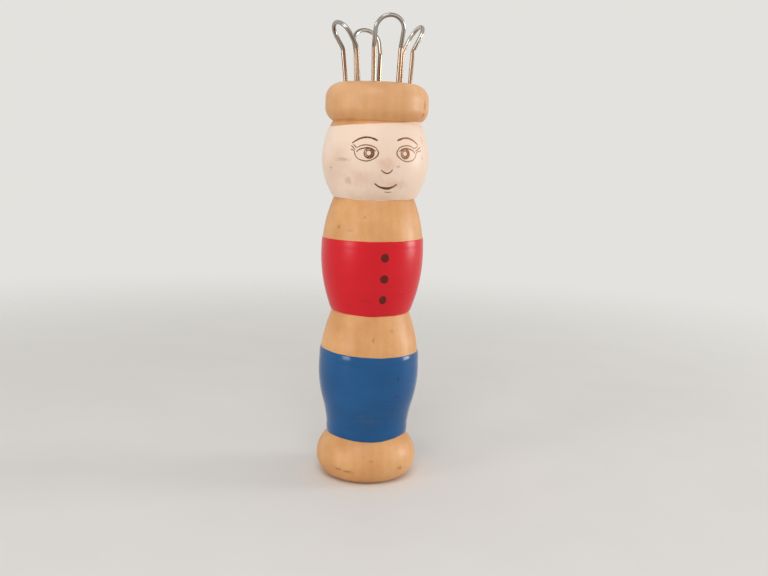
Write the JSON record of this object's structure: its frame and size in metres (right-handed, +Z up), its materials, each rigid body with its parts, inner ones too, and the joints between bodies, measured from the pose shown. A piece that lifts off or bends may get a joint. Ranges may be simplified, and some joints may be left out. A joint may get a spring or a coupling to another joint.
{
  "type": "knitting nancy",
  "caption": "Hollow turned wooden doll with a painted jacket, skirt and face and bent wire loops in its cap, for knitting a yarn cord that leaves through its bore.",
  "frame": {"origin": "centre of the foot's flat, on the surface that the doll stands on", "axes": "+Z up along the bore, -Y the way the face looks, +X to the right of someone who faces it"},
  "size_m": [0.028, 0.028, 0.1215],
  "materials": {
    "turned_wood": "turned beech with a thin satin varnish",
    "wire": "drawn bright steel wire",
    "white_paint": "satin white paint film",
    "red_paint": "gloss red paint film",
    "blue_paint": "gloss blue paint film",
    "black_paint": "dotted black paint",
    "brown_ink": "inked lines"
  },
  "bodies": {
    "root": {"turned_doll": "turned_wood", "front_loop": "wire", "right_loop": "wire", "back_loop": "wire", "left_loop": "wire", "head_paint": "white_paint", "jacket_paint": "red_paint", "skirt_paint": "blue_paint", "button_dots": "black_paint", "face_ink": "brown_ink"}
  },
  "joints": []
}
